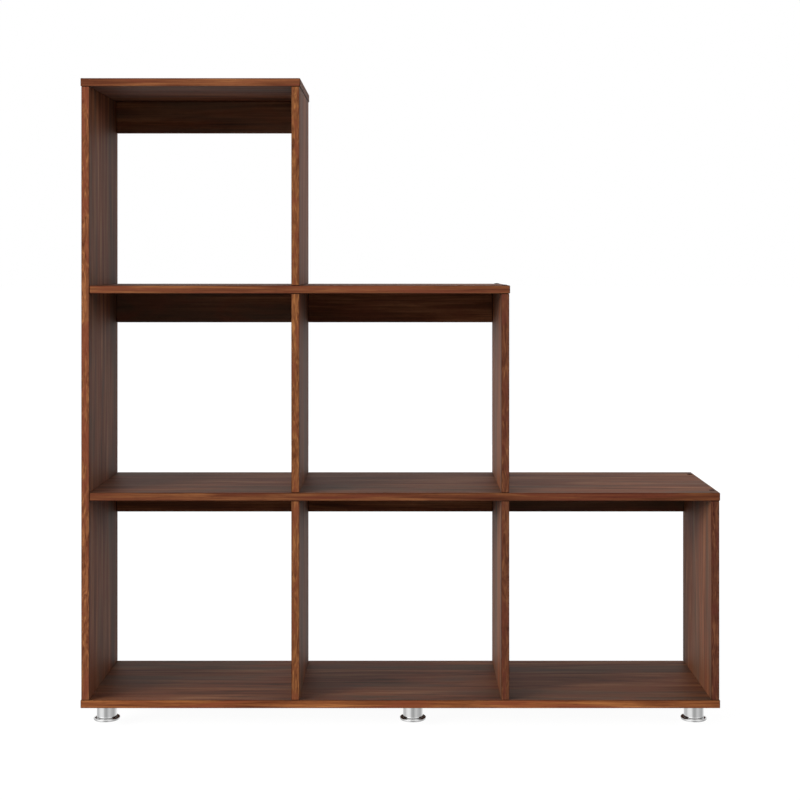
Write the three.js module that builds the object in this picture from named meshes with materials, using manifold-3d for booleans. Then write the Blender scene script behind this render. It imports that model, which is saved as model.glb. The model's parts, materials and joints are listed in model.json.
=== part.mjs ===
// Staircase bookshelf: six open cubbies in three falling steps, standing on six levelling feet.
// Each board is its own piece, drilled for every screw, dowel and foot that enters it.
// Units are millimetres, +Z is up, and the front faces -Y, so +X is to the right of whoever looks at it.
// The origin is on the floor, under the middle of the boards.

import * as THREE from "three";
import { mergeVertices } from "three/addons/utils/BufferGeometryUtils.js";
import Module from "manifold-3d";

// Driving dimensions of the boards
const boardThickness = 15;
const boardDepth = 300;
const cubbyWidth = 379;
const cubbyHeight = 374;
const railHeight = 64;
const endOverhang = 1.5;
const easedEdge = 0.8;
const jointGap = 0.2;

// Driving dimensions of the screws, their caps and the dowels
const screwLength = 50;
const screwDiameter = 6.4;
const screwTipDiameter = 4;
const screwTipLength = 3;
const screwHeadDiameter = 9;
const screwHeadEdge = 0.6;
const screwHeadSink = 0.5;
const socketWidth = 4;
const socketDepth = 2.6;
const capDiameter = 10.6;
const capEdge = 0.5;
const capRise = 1.3;
const capPegDiameter = 3.4;
const capPegLength = 2.2;
const dowelDiameter = 8;
const dowelChamfer = 0.8;
const uprightDowelBite = 20;
const railDowelBite = 9;
const railDowelStagger = 16;
const fastenerSetback = 34;
const fitGap = 0.2;
const drillOverrun = 1;

// Driving dimensions of the levelling feet
const footHeight = 31.4;
const footEndInset = 42.5;
const footSetback = 40;
const middleFootOffset = 24;
const sleeveDiameter = 38;
const sleeveWall = 1.3;
const sleeveLip = 0.5;
const shadowGap = 0.9;
const flangeDiameter = 50;
const flangeThickness = 5;
const rimTopRadius = 1.5;
const rimBottomRadius = 2.2;
const hubDiameter = 24;
const hubRise = 3;
const stemDiameter = 10;
const stemChamfer = 1;
const stemEndGap = 0.5;
const insertRoof = 2;
const spigotDiameter = 12;
const spigotHeight = 10;
const spigotChamfer = 1;
const runningGap = 0.3;

// How finely the round pieces are faceted
const footSides = 24;
const insertSides = 12;
const capSides = 12;
const screwSides = 8;
const dowelSides = 8;
const edgeSegments = 2;
const endSegments = 1;

// The staircase: each row of cubbies is one shorter than the row below it
const rowNames = ["bottom", "middle", "top"];
const columnNames = ["left", "centre", "right"];
const uprightNames = ["left_side_panel", "left_divider", "right_divider", "right_side_panel"];
const levelNames = ["bottom_board", "middle_shelf", "upper_shelf", "top_board"];
const steps = rowNames.length;

const columnPitch = cubbyWidth + boardThickness;
const rowPitch = cubbyHeight + boardThickness;
const front = -boardDepth / 2;
const back = boardDepth / 2;
const fastenerPlaces = [
  { end: "front", y: front + fastenerSetback },
  { end: "back", y: back - fastenerSetback },
];

// Materials

const walnut = { color: 0x6f4631, roughness: 0.5, metalness: 0 };
const chrome = { color: 0xd9dbde, roughness: 0.12, metalness: 1 };
const blackPlastic = { color: 0x1f1f21, roughness: 0.6, metalness: 0 };
const brownPlastic = { color: 0x4a2c20, roughness: 0.45, metalness: 0 };
const zincSteel = { color: 0xa9abae, roughness: 0.35, metalness: 1 };

// Solids: a closed geometry becomes a manifold to be drilled or joined, and comes back as a geometry

const wasm = await Module();
wasm.setup();

function welded(geometry) {
  const bare = geometry.clone();
  bare.deleteAttribute("normal");
  bare.deleteAttribute("uv");
  const merged = mergeVertices(bare);
  const corners = merged.index.array;
  const kept = [];
  for (let i = 0; i < corners.length; i += 3) {
    const [a, b, c] = corners.slice(i, i + 3);
    if (a !== b && b !== c && c !== a) {
      kept.push(a, b, c);
    }
  }
  merged.setIndex(kept);
  merged.computeVertexNormals();
  return merged;
}

function toSolid(geometry) {
  const closed = welded(geometry);
  const vertProperties = new Float32Array(closed.attributes.position.array);
  const triVerts = new Uint32Array(closed.index.array);
  return new wasm.Manifold(new wasm.Mesh({ numProp: 3, vertProperties, triVerts }));
}

function toGeometry(solid) {
  const mesh = solid.getMesh();
  const geometry = new THREE.BufferGeometry();
  geometry.setAttribute("position", new THREE.BufferAttribute(mesh.vertProperties, 3));
  geometry.setIndex(new THREE.BufferAttribute(mesh.triVerts, 1));
  geometry.computeVertexNormals();
  return geometry;
}

// A round piece: the profile's x is the radius and its y the height, and it turns about +Z. An arc
// in a profile gets two segments for each division
function turned(profile, sides) {
  const lathe = new THREE.LatheGeometry(profile.getPoints(edgeSegments / 2), sides);
  lathe.rotateX(Math.PI / 2);
  return welded(lathe);
}

function makeMesh(name, geometry, finish) {
  const mesh = new THREE.Mesh(geometry, new THREE.MeshStandardMaterial(finish));
  mesh.name = name;
  return mesh;
}

// Where things are: uprights are counted from the left, levels and rows from the bottom

function uprightX(upright) {
  return (upright - steps / 2) * columnPitch;
}

function levelTop(level) {
  return footHeight + boardThickness + level * rowPitch;
}

function levelUnderside(level) {
  return levelTop(level) - boardThickness;
}

// The last upright that a level covers: the bottom board and the first shelf run the full width
function lastUpright(level) {
  return steps - Math.max(level - 1, 0);
}

// A divider comes in one segment per row, and each side panel in one piece
function uprightName(upright, row) {
  const isDivider = upright > 0 && upright < steps;
  return isDivider ? `${uprightNames[upright]}_${rowNames[row]}` : uprightNames[upright];
}

function railName(row, column) {
  return `back_rail_${rowNames[row]}_${columnNames[column]}`;
}

// Screws: countersunk, with a hexagon socket, measured down from the board's face

const screwRadius = screwDiameter / 2;
const headRadius = screwHeadDiameter / 2;
const headTop = -screwHeadSink;
const coneTop = headTop - screwHeadEdge;
const coneBottom = coneTop - (headRadius - screwRadius);

function screwGeometry() {
  const profile = new THREE.Path();
  profile.moveTo(0, -screwLength);
  profile.lineTo(screwTipDiameter / 2, -screwLength);
  profile.lineTo(screwRadius, screwTipLength - screwLength);
  profile.lineTo(screwRadius, coneBottom);
  profile.lineTo(headRadius, coneTop);
  profile.lineTo(headRadius, headTop);
  profile.lineTo(0, headTop);
  const blank = toSolid(turned(profile, screwSides));

  const socketCorner = socketWidth / 2 / Math.cos(Math.PI / 6);
  const socket = new THREE.CylinderGeometry(socketCorner, socketCorner, socketDepth * 2, 6);
  socket.rotateX(Math.PI / 2);
  socket.translate(0, 0, headTop);
  return toGeometry(blank.subtract(toSolid(socket)));
}

function screwHoleGeometry() {
  const profile = new THREE.Path();
  profile.moveTo(0, -screwLength - fitGap);
  profile.lineTo(screwRadius + fitGap, -screwLength - fitGap);
  profile.lineTo(screwRadius + fitGap, coneBottom);
  profile.lineTo(headRadius + fitGap, coneTop);
  profile.lineTo(headRadius + fitGap, drillOverrun);
  profile.lineTo(0, drillOverrun);
  return turned(profile, screwSides);
}

// A domed cap lies over the screw's head, with a peg in its socket
function capGeometry() {
  const profile = new THREE.Path();
  profile.moveTo(0, fitGap - capPegLength);
  profile.lineTo(capPegDiameter / 2, fitGap - capPegLength);
  profile.lineTo(capPegDiameter / 2, fitGap);
  profile.lineTo(capDiameter / 2, fitGap);
  profile.lineTo(capDiameter / 2, fitGap + capEdge);
  profile.absellipse(0, fitGap + capEdge, capDiameter / 2, capRise - capEdge, 0, Math.PI / 2);
  return turned(profile, capSides);
}

// Dowels: a round pin about its own middle with chamfered ends, and the hole that it slips into
function dowelGeometry(length) {
  const radius = dowelDiameter / 2;
  const profile = new THREE.Path();
  profile.moveTo(0, -length / 2);
  profile.lineTo(radius - dowelChamfer, -length / 2);
  profile.lineTo(radius, dowelChamfer - length / 2);
  profile.lineTo(radius, length / 2 - dowelChamfer);
  profile.lineTo(radius - dowelChamfer, length / 2);
  profile.lineTo(0, length / 2);
  return turned(profile, dowelSides);
}

function dowelHoleGeometry(length) {
  const radius = dowelDiameter / 2 + fitGap;
  const half = length / 2 + fitGap;
  const profile = new THREE.Path();
  profile.moveTo(0, -half);
  profile.lineTo(radius, -half);
  profile.lineTo(radius, half);
  profile.lineTo(0, half);
  return turned(profile, dowelSides);
}

// Every fastener keeps its place, the hole that it needs and, where it is glued or driven into one
// board for good, the name of that board, which then carries it as part of its own solid

function placement(x, y, z, outward) {
  const turn = new THREE.Quaternion().setFromUnitVectors(new THREE.Vector3(0, 0, 1), outward);
  return { position: new THREE.Vector3(x, y, z), turn };
}

function placed(geometry, place) {
  const matrix = new THREE.Matrix4();
  matrix.compose(place.position, place.turn, new THREE.Vector3(1, 1, 1));
  return geometry.clone().applyMatrix4(matrix);
}

function fastener(place, hole, carried, carrier) {
  const drill = placed(hole, place);
  drill.computeBoundingBox();
  return {
    reach: drill.boundingBox,
    drill: toSolid(drill),
    pin: carrier ? toSolid(placed(carried, place)) : null,
    carrier,
  };
}

const up = new THREE.Vector3(0, 0, 1);
const down = new THREE.Vector3(0, 0, -1);
const leftwards = new THREE.Vector3(-1, 0, 0);
const rightwards = new THREE.Vector3(1, 0, 0);

// Screws under caps go down through a step's end and the top board, and in through the left panel
function cappedScrewPlaces() {
  const places = [];
  for (const { end, y } of fastenerPlaces) {
    for (let level = 1; level <= steps; level += 1) {
      const uprights = level === steps ? [0, lastUpright(level)] : [lastUpright(level)];
      for (const upright of uprights) {
        const side = upright === 0 ? "left" : "right";
        places.push({
          name: `${levelNames[level]}_${side}_${end}`,
          ...placement(uprightX(upright), y, levelTop(level), up),
        });
      }
      if (level < steps) {
        const z = levelTop(level) - boardThickness / 2;
        const x = uprightX(0) - boardThickness / 2;
        places.push({ name: `${levelNames[level]}_left_${end}`, ...placement(x, y, z, leftwards) });
      }
    }
  }
  return places;
}

// Screws without caps come up through the bottom board and stay in the upright that they hold
function bottomScrews(screw, hole) {
  const fasteners = [];
  for (const { y } of fastenerPlaces) {
    for (let upright = 0; upright <= steps; upright += 1) {
      const place = placement(uprightX(upright), y, levelUnderside(0), down);
      fasteners.push(fastener(place, hole, screw, uprightName(upright, 0)));
    }
  }
  return fasteners;
}

// Dowels run from one divider segment through the shelf into the next, glued in the lower one
function dividerDowels() {
  const length = boardThickness + jointGap * 2 + uprightDowelBite * 2;
  const hole = dowelHoleGeometry(length);
  const dowel = dowelGeometry(length);
  const fasteners = [];
  for (const { y } of fastenerPlaces) {
    for (let level = 1; level < steps; level += 1) {
      for (let upright = 1; upright < lastUpright(level); upright += 1) {
        const place = placement(uprightX(upright), y, levelTop(level) - boardThickness / 2, up);
        fasteners.push(fastener(place, hole, dowel, uprightName(upright, level - 1)));
      }
    }
  }
  return fasteners;
}

// Each rail has one dowel at either end, staggered so that two rails can meet at one divider
function railDowels() {
  const length = railDowelBite * 2;
  const hole = dowelHoleGeometry(length);
  const dowel = dowelGeometry(length);
  const fasteners = [];
  for (let row = 0; row < steps; row += 1) {
    for (let column = 0; column < steps - row; column += 1) {
      const middle = levelUnderside(row + 1) - jointGap - railHeight / 2;
      const ends = [
        { x: uprightX(column) + boardThickness / 2, z: middle + railDowelStagger, outward: leftwards },
        { x: uprightX(column + 1) - boardThickness / 2, z: middle - railDowelStagger, outward: rightwards },
      ];
      for (const { x, z, outward } of ends) {
        const place = placement(x, back - boardThickness / 2, z, outward);
        fasteners.push(fastener(place, hole, dowel, railName(row, column)));
      }
    }
  }
  return fasteners;
}

// Levelling feet: an insert pressed into the bottom board, a chrome sleeve over it, and a base whose
// stem screws up into the insert. All three are turned about the foot's axis, with the floor at zero

const insertBottom = flangeThickness + hubRise + runningGap;
const insertTop = footHeight - jointGap;
const boreRoof = footHeight - insertRoof;
const sleeveBore = sleeveDiameter / 2 - sleeveWall;

function footSleeve() {
  const outside = sleeveDiameter / 2;
  const bottom = flangeThickness + shadowGap;
  const profile = new THREE.Path();
  profile.moveTo(sleeveBore, bottom);
  profile.lineTo(outside - sleeveLip, bottom);
  profile.absarc(outside - sleeveLip, bottom + sleeveLip, sleeveLip, -Math.PI / 2, 0);
  profile.lineTo(outside, insertTop);
  profile.lineTo(sleeveBore, insertTop);
  profile.lineTo(sleeveBore, bottom);
  return turned(profile, footSides);
}

function footInsert() {
  const bore = stemDiameter / 2 + fitGap;
  const outside = sleeveBore - fitGap;
  const spigot = spigotDiameter / 2;
  const spigotTop = footHeight + spigotHeight;
  const profile = new THREE.Path();
  profile.moveTo(0, boreRoof);
  profile.lineTo(bore, boreRoof);
  profile.lineTo(bore, insertBottom);
  profile.lineTo(outside, insertBottom);
  profile.lineTo(outside, insertTop);
  profile.lineTo(spigot, insertTop);
  profile.lineTo(spigot, spigotTop - spigotChamfer);
  profile.lineTo(spigot - spigotChamfer, spigotTop);
  profile.lineTo(0, spigotTop);
  return turned(profile, insertSides);
}

function spigotHole() {
  const radius = spigotDiameter / 2 + fitGap;
  const profile = new THREE.Path();
  profile.moveTo(0, footHeight - drillOverrun);
  profile.lineTo(radius, footHeight - drillOverrun);
  profile.lineTo(radius, footHeight + spigotHeight + fitGap);
  profile.lineTo(0, footHeight + spigotHeight + fitGap);
  return turned(profile, insertSides);
}

function footBase() {
  const outside = flangeDiameter / 2;
  const hubTop = flangeThickness + hubRise;
  const stem = stemDiameter / 2;
  const stemTop = boreRoof - stemEndGap;
  const profile = new THREE.Path();
  profile.moveTo(0, 0);
  profile.lineTo(outside - rimBottomRadius, 0);
  profile.absarc(outside - rimBottomRadius, rimBottomRadius, rimBottomRadius, -Math.PI / 2, 0);
  profile.absarc(outside - rimTopRadius, flangeThickness - rimTopRadius, rimTopRadius, 0, Math.PI / 2);
  profile.lineTo(hubDiameter / 2, flangeThickness);
  profile.lineTo(hubDiameter / 2, hubTop);
  profile.lineTo(stem, hubTop);
  profile.lineTo(stem, stemTop - stemChamfer);
  profile.lineTo(stem - stemChamfer, stemTop);
  profile.lineTo(0, stemTop);
  return turned(profile, footSides);
}

function footPlaces() {
  const boardEnd = uprightX(steps) + boardThickness / 2 + endOverhang;
  const columns = [
    { side: "left", x: footEndInset - boardEnd },
    { side: "middle", x: middleFootOffset },
    { side: "right", x: boardEnd - footEndInset },
  ];
  const rows = [
    { end: "front", y: front + footSetback },
    { end: "back", y: back - footSetback },
  ];
  return columns.flatMap(({ side, x }) => rows.map(({ end, y }) => ({
    name: `${side}_${end}_foot`,
    ...placement(x, y, 0, up),
  })));
}

// Boards: a section with rounded corners, extruded along the grain with chamfered ends. span holds the
// board's low and high limit on each axis, and grain is the axis that it is extruded along

const grainTurns = {
  x: [new THREE.Vector3(0, 1, 0), new THREE.Vector3(0, 0, 1), new THREE.Vector3(1, 0, 0)],
  z: [new THREE.Vector3(1, 0, 0), new THREE.Vector3(0, 1, 0), new THREE.Vector3(0, 0, 1)],
};

function easedSection(width, height) {
  const x = width / 2 - easedEdge;
  const y = height / 2 - easedEdge;
  const quarter = Math.PI / 2;
  const section = new THREE.Shape();
  section.absarc(x, -y, easedEdge, -quarter, 0);
  section.absarc(x, y, easedEdge, 0, quarter);
  section.absarc(-x, y, easedEdge, quarter, quarter * 2);
  section.absarc(-x, -y, easedEdge, quarter * 2, quarter * 3);
  return section;
}

function boardBlank(span, grain) {
  const size = span.getSize(new THREE.Vector3());
  const [acrossAxis, throughAxis, alongAxis] = grainTurns[grain];
  const across = size.dot(acrossAxis);
  const through = size.dot(throughAxis);
  const along = size.dot(alongAxis);
  const blank = new THREE.ExtrudeGeometry(easedSection(across, through), {
    depth: along - easedEdge * 2,
    bevelThickness: easedEdge,
    bevelSize: easedEdge,
    bevelOffset: -easedEdge,
    bevelSegments: endSegments,
    curveSegments: edgeSegments / 2,
  });
  blank.translate(0, 0, easedEdge - along / 2);
  blank.applyMatrix4(new THREE.Matrix4().makeBasis(acrossAxis, throughAxis, alongAxis));
  const centre = span.getCenter(new THREE.Vector3());
  return blank.translate(centre.x, centre.y, centre.z);
}

function boardMesh({ name, span, grain }, fasteners) {
  let solid = toSolid(boardBlank(span, grain));
  for (const item of fasteners) {
    if (item.carrier === name) {
      solid = solid.add(item.pin);
    } else if (item.reach.intersectsBox(span)) {
      solid = solid.subtract(item.drill);
    }
  }
  const centre = span.getCenter(new THREE.Vector3());
  const geometry = toGeometry(solid).translate(-centre.x, -centre.y, -centre.z);
  const mesh = makeMesh(name, geometry, walnut);
  mesh.position.copy(centre);
  return mesh;
}

function boxSpan(x, y, z) {
  return new THREE.Box3(new THREE.Vector3(x[0], y[0], z[0]), new THREE.Vector3(x[1], y[1], z[1]));
}

// The bottom and top boards cover the left panel, and the two shelves between them butt against it
function levelBoards() {
  return levelNames.map((name, level) => {
    const coversPanel = level === 0 || level === steps;
    const panel = uprightX(0);
    const left = coversPanel
      ? panel - boardThickness / 2 - endOverhang
      : panel + boardThickness / 2 + jointGap;
    const right = uprightX(lastUpright(level)) + boardThickness / 2 + endOverhang;
    const span = boxSpan([left, right], [front, back], [levelUnderside(level), levelTop(level)]);
    return { name, span, grain: "x" };
  });
}

function uprightSpan(upright, lowLevel, highLevel) {
  const x = uprightX(upright);
  const z = [levelTop(lowLevel) + jointGap, levelUnderside(highLevel) - jointGap];
  return boxSpan([x - boardThickness / 2, x + boardThickness / 2], [front, back], z);
}

function uprightBoards() {
  const boards = [{ name: uprightName(0, 0), span: uprightSpan(0, 0, steps), grain: "z" }];
  for (let upright = 1; upright <= steps; upright += 1) {
    for (let row = 0; row <= steps - upright; row += 1) {
      boards.push({ name: uprightName(upright, row), span: uprightSpan(upright, row, row + 1), grain: "z" });
    }
  }
  return boards;
}

function backRails() {
  const rails = [];
  for (let row = 0; row < steps; row += 1) {
    for (let column = 0; column < steps - row; column += 1) {
      const left = uprightX(column) + boardThickness / 2 + jointGap;
      const right = uprightX(column + 1) - boardThickness / 2 - jointGap;
      const top = levelUnderside(row + 1) - jointGap;
      const span = boxSpan([left, right], [back - boardThickness, back], [top - railHeight, top]);
      rails.push({ name: railName(row, column), span, grain: "x" });
    }
  }
  return rails;
}

// Assembly: the holes come first, because each board is drilled for whatever enters it

const screw = screwGeometry();
const screwHole = screwHoleGeometry();
const cap = capGeometry();
const cappedScrews = cappedScrewPlaces();
const feet = footPlaces();
const fasteners = [
  ...cappedScrews.map((place) => fastener(place, screwHole, screw, null)),
  ...bottomScrews(screw, screwHole),
  ...dividerDowels(),
  ...railDowels(),
  ...feet.map((place) => fastener(place, spigotHole(), null, null)),
];

const carcass = new THREE.Group();
for (const board of [...levelBoards(), ...uprightBoards(), ...backRails()]) {
  carcass.add(boardMesh(board, fasteners));
}
for (const { name, position, turn } of cappedScrews) {
  const joint = new THREE.Group();
  joint.position.copy(position);
  joint.quaternion.copy(turn);
  joint.add(makeMesh(`${name}_screw`, screw, zincSteel));
  joint.add(makeMesh(`${name}_cap`, cap, brownPlastic));
  carcass.add(joint);
}

const footing = new THREE.Group();
for (const { name, position } of feet) {
  const foot = new THREE.Group();
  foot.position.copy(position);
  foot.add(makeMesh(`${name}_insert`, footInsert(), blackPlastic));
  foot.add(makeMesh(`${name}_sleeve`, footSleeve(), chrome));
  foot.add(makeMesh(`${name}_base`, footBase(), chrome));
  footing.add(foot);
}

const bookshelf = new THREE.Group();
bookshelf.add(carcass, footing);
export default bookshelf;
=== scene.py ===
import json
import math

import bmesh
import bpy
from bpy.props import FloatProperty, FloatVectorProperty, PointerProperty
from mathutils import Matrix, Vector

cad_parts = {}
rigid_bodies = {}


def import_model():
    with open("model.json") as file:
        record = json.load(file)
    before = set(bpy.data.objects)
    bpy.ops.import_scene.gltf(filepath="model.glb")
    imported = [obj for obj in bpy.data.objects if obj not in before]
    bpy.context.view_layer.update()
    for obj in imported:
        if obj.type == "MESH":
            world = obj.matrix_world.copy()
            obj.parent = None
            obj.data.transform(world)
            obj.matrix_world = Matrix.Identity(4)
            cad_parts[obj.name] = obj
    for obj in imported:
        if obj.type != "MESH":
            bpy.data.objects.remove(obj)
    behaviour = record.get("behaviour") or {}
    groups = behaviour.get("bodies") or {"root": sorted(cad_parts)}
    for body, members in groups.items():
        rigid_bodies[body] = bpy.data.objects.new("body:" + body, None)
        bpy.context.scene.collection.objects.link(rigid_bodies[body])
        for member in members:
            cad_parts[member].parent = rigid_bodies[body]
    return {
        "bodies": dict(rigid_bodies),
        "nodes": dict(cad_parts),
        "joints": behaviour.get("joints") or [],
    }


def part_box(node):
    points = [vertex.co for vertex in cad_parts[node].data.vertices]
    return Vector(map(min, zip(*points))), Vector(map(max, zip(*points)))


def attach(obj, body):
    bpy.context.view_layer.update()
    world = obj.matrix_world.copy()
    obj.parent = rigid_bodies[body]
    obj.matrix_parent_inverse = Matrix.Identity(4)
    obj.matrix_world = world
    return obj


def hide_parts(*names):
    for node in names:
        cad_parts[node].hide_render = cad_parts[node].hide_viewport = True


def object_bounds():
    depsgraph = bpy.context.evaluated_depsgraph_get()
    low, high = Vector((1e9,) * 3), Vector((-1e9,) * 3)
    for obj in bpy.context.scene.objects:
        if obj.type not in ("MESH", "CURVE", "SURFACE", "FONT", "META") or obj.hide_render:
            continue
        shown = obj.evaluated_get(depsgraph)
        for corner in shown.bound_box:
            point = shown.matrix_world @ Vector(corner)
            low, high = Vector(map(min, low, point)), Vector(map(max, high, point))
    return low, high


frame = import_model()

bl_info = {
    "name": "Staircase Bookshelf",
    "version": (1, 0, 0),
    "blender": (4, 5, 0),
    "location": "View3D > Sidebar > Bookshelf",
    "description": "Finishes a stepped walnut cubby unit that stands on chrome levelling feet",
    "category": "Object",
}

MM = 0.001
FULL_TURN = 2 * math.pi
QUARTER_TURN = FULL_TURN / 4
SMOOTH_LIMIT = math.radians(35)
MERGE_DISTANCE = 0.001 * MM
RING_TOLERANCE = 0.01 * MM
CAD_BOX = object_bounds()
CHROME = "bright chrome plate"

# The colour sockets of a mix node, which share their names with its other kinds of socket
FACTOR, COLOUR_A, COLOUR_B, MIXED = 0, 6, 7, 2

# The frame's pieces, grouped by how they are finished
BODY = "carcass"
SHELVES = ("bottom_board", "middle_shelf", "upper_shelf", "top_board")
UPRIGHTS = (
    "left_side_panel", "left_divider_bottom", "left_divider_middle", "left_divider_top",
    "right_divider_bottom", "right_divider_middle", "right_side_panel",
)
RAILS = tuple(sorted(name for name in frame["nodes"] if name.startswith("back_rail")))
FEET = tuple(sorted(name for name in frame["bodies"] if name.endswith("_foot")))
GROUND_UPRIGHTS = ("left_side_panel", "left_divider_bottom", "right_divider_bottom", "right_side_panel")
CAPS = tuple(sorted(name for name in frame["nodes"] if name.endswith("_cap")))
SCREWS = tuple(sorted(name for name in frame["nodes"] if name.endswith("_screw")))

# Value, hue and saturation of each board's edge band: partly the band's own tone from board to board, and
# partly painted shade, as the right-hand uprights' bands are darkened where the light falls off to the
# right
EDGE_TONES = {
    "bottom_board": (1.16, 0.502, 1),
    "middle_shelf": (0.65, 0.497, 0.97),
    "upper_shelf": (0.82, 0.499, 0.97),
    "top_board": (0.88, 0.5, 0.97),
    "left_side_panel": (0.92, 0.5, 0.97),
    "left_divider_bottom": (0.9, 0.504, 0.98),
    "left_divider_middle": (0.9, 0.504, 0.98),
    "left_divider_top": (0.9, 0.504, 0.98),
    "right_divider_bottom": (0.6, 0.497, 0.94),
    "right_divider_middle": (0.6, 0.497, 0.94),
    "right_side_panel": (0.52, 0.493, 0.92),
}
PLAIN_EDGE = (0.8, 0.5, 1)

# An edge band's figure: length and width of a flame, swirl, share of fine curl, and the noise step
# from its ground colour to its darkest and lightest
LONG_FIGURE = (200 * MM, 7 * MM, 0.8, 0.35, 0.18)
CURLY_FIGURE = (50 * MM, 8 * MM, 2.4, 0.3, 0.18)

# The faces' figure: the noise step from their ground colour to the darkest and lightest, and the
# share of fine threads in it
FACE_STEP = 0.16
THREAD_SHARE = 0.36

# A print layer's share of the colour: the noise values between which it grows from nothing to its
# most, and that most
PRINT_SHARES = {
    "bands": (0.48, 0.6, 0.7),
    "clouds": (0.48, 0.67, 0.38),
    "patches": (0.47, 0.6, 0.7),
    "pores": (0.6, 0.72, 0.35),
}
# How far the dark border line, partly painted shade along edges and joints, covers the band's colour
BORDER_SHARE = 0.55
THREAD_RELIEF_SHARE = 0.15

# How far on in the pattern the next board lies, in metres
SEED_STEP_X = 3.1
SEED_STEP_Y = 1.7
SEED_Z = 0.3

# How straight a surface faces: between these it turns from edge to face, and from corner to flat. The eased
# corner is darkened, partly as the band's trimmed line and partly as painted shade
FACE_FROM, FACE_TO = 0.9, 0.97
CORNER_FROM, CORNER_TO = 0.98, 0.85

# Scales of the other finishes' patterns. Real turning lines and the grain of a spark-eroded mould
# are about a tenth of a millimetre, too fine to show, so both are drawn coarser
TURNING_LINE = 0.4 * MM
TURNING_SPREAD = 50 * MM
SMUDGE = 9 * MM
NYLON_GRAIN = 0.7 * MM
PLATING_CLOUD = 2.5 * MM
FLOW_MARK = 3 * MM
PAPER_FIBRE = 3 * MM

# How finely the round pieces are made
FOOT_STEPS = 96
INSERT_STEPS = 64
CAP_STEPS = 40
DOME_STEPS = 6
HEAD_STEPS = 48
THREAD_STEPS = 24
FINE_SEGMENTS = 6
LIP_SEGMENTS = 4
EDGE_SEGMENTS = 3

# The thread's ridge as shares of its pitch, and how far it sinks into the stem
THREAD_FOOT_SHARE = 0.42
THREAD_CREST_SHARE = 0.06
THREAD_DEPTH_SHARE = 0.6
THREAD_SINK = 0.05 * MM

# The walls that metal mirrors, as (share of a turn, grey level). The turn starts behind the unit and
# passes its left at a quarter, its front at a half and its right at three quarters
WALLS = (
    (0, 1), (0.05, 1), (0.1, 0.66), (0.23, 0.63), (0.275, 0.9), (0.35, 1), (0.41, 0.92), (0.455, 0.5),
    (0.52, 0.43), (0.58, 0.66), (0.62, 0.69), (0.66, 0.58), (0.76, 0.46), (0.83, 0.68), (0.92, 1),
)

# The floor's reach in metres, its distance under the feet's lowest place, and the white that the
# camera sees, with its share over the paper and the shadow
FLOOR_SIZE = 60
FLOOR_GAP = 0.5 * MM
FLOOR_WHITE = 1.13
FLOOR_WHITE_SHARE = 0.85


def linear(code):
    """Turns an sRGB hex colour into the linear values that the shaders take."""
    channels = [int(code[start:start + 2], 16) / 255 for start in (1, 3, 5)]
    return tuple(c / 12.92 if c <= 0.04045 else ((c + 0.055) / 1.055) ** 2.4 for c in channels)


def colour_prop(name, description, code):
    """A colour that the sidebar shows, with its default given as sRGB hex."""
    return FloatVectorProperty(
        name=name, description=description, subtype="COLOR", size=3, min=0, max=1, default=linear(code))


def length_prop(name, description, millimetres):
    """A length that the sidebar shows, with its default given in millimetres."""
    return FloatProperty(
        name=name, description=description, subtype="DISTANCE", unit="LENGTH", min=0, precision=4,
        default=millimetres * MM)


def power_prop(name, description, watts):
    """A lamp's power that the sidebar shows."""
    return FloatProperty(name=name, description=description, unit="POWER", min=0, default=watts)


class WalnutSettings(bpy.types.PropertyGroup):
    """Colours and grain of the walnut boards."""
    face_dark: colour_prop("Face, dark grain", "Late wood on the broad faces", "#362219")
    face_middle: colour_prop("Face, ground", "Ground colour of the broad faces", "#623823")
    face_light: colour_prop("Face, light grain", "Early wood on the broad faces", "#85583a")
    face_grey: colour_prop("Face, grey band", "Grey-brown heartwood bands on the broad faces", "#4b392d")
    face_red: colour_prop("Face, red cloud", "Reddish clouds on the broad faces", "#693826")
    edge_dark: colour_prop("Edge, dark figure", "Dark figure on the edge band", "#4e2416")
    edge_middle: colour_prop("Edge, ground", "Ground colour of the edge band", "#794629")
    edge_light: colour_prop("Edge, light figure", "Light figure on the edge band", "#a76b3d")
    edge_red: colour_prop("Edge, red patch", "Reddish patches on the edge band", "#743a27")
    # Dark colour of the borders and eased corners: partly the trimmed band's line, partly painted shade
    # along the eased edges and joints
    corner: colour_prop("Corner", "Dark line where the edge band is trimmed", "#1c0d08")
    band_width: length_prop("Band width", "Width of a heartwood band across the grain", 70)
    streak_width: length_prop("Streak width", "Width of a streak across the grain", 26)
    streak_length: length_prop("Streak length", "Length of a streak along the grain", 380)
    pore_width: length_prop("Pore width", "Width of one pore dash", 0.9)
    pore_length: length_prop("Pore length", "Length of one pore dash", 14)
    # The border line's width; the line is partly painted shade
    border: length_prop("Border", "Width of the dark line along the edge band's borders", 0.8)


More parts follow.
